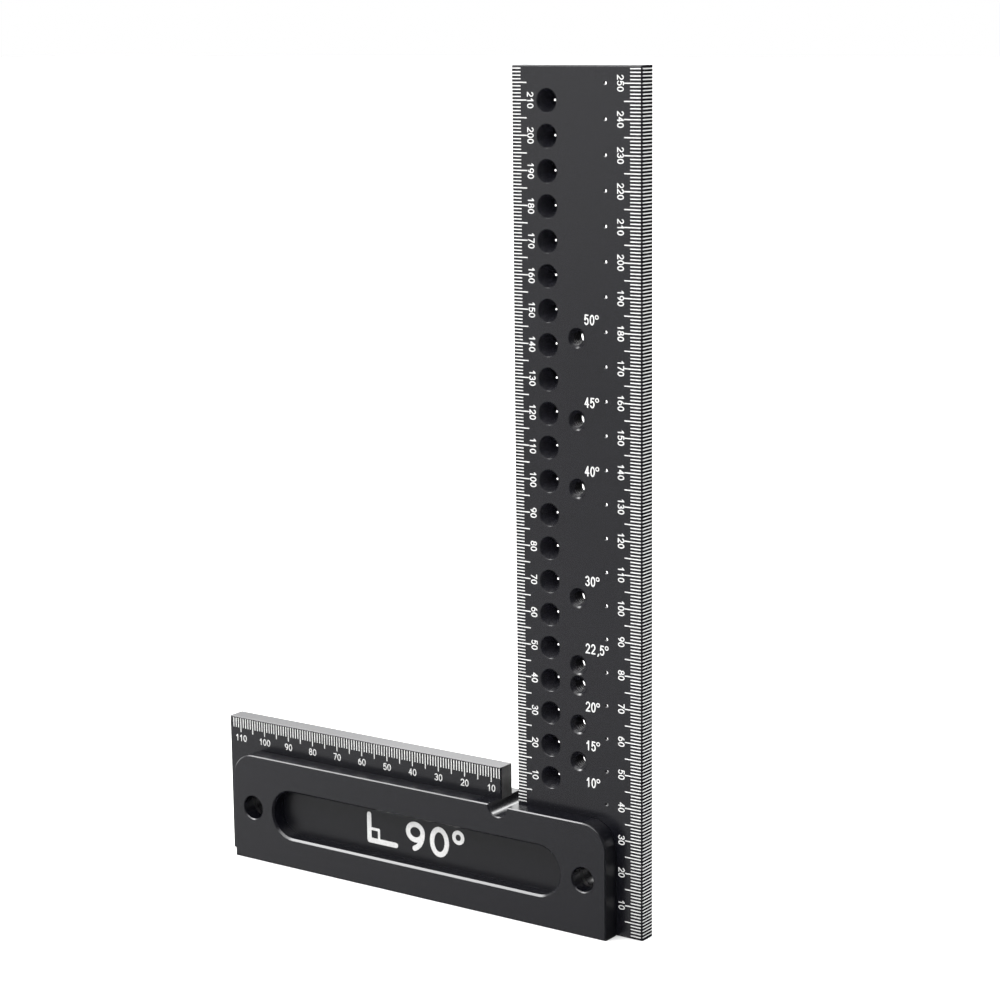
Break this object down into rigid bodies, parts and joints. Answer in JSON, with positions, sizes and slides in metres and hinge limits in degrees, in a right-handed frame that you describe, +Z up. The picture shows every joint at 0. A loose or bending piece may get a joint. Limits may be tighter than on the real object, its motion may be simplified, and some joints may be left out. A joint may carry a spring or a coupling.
{
  "type": "try square",
  "caption": "Try square with a graduated L-shaped blade held between two stock cheeks, pencil holes and threaded angle holes.",
  "frame": {"origin": "middle of the box round the square, at its lower face", "axes": "+Z up along the blade, +X from the arm's free end to the blade, -Y out of the graduated front face"},
  "size_m": [0.1586, 0.018, 0.255],
  "materials": {
    "blade_anodised": "black anodised, fine satin",
    "cheek_anodised": "black anodised, fine satin",
    "screw_black": "black oxide",
    "dowel_steel": "ground",
    "bare_aluminium": "machined after anodising, bare",
    "white_marking": "laser-marked white"
  },
  "bodies": {
    "root": {"blade": "blade_anodised", "front_stock_plate": "cheek_anodised", "rear_stock_plate": "cheek_anodised", "stock_screw_1": "screw_black", "stock_screw_2": "screw_black", "stock_screw_3": "screw_black", "stock_screw_4": "screw_black", "stock_screw_5": "screw_black", "stock_screw_6": "screw_black", "dowel_1": "dowel_steel", "dowel_2": "dowel_steel"}
  },
  "joints": []
}
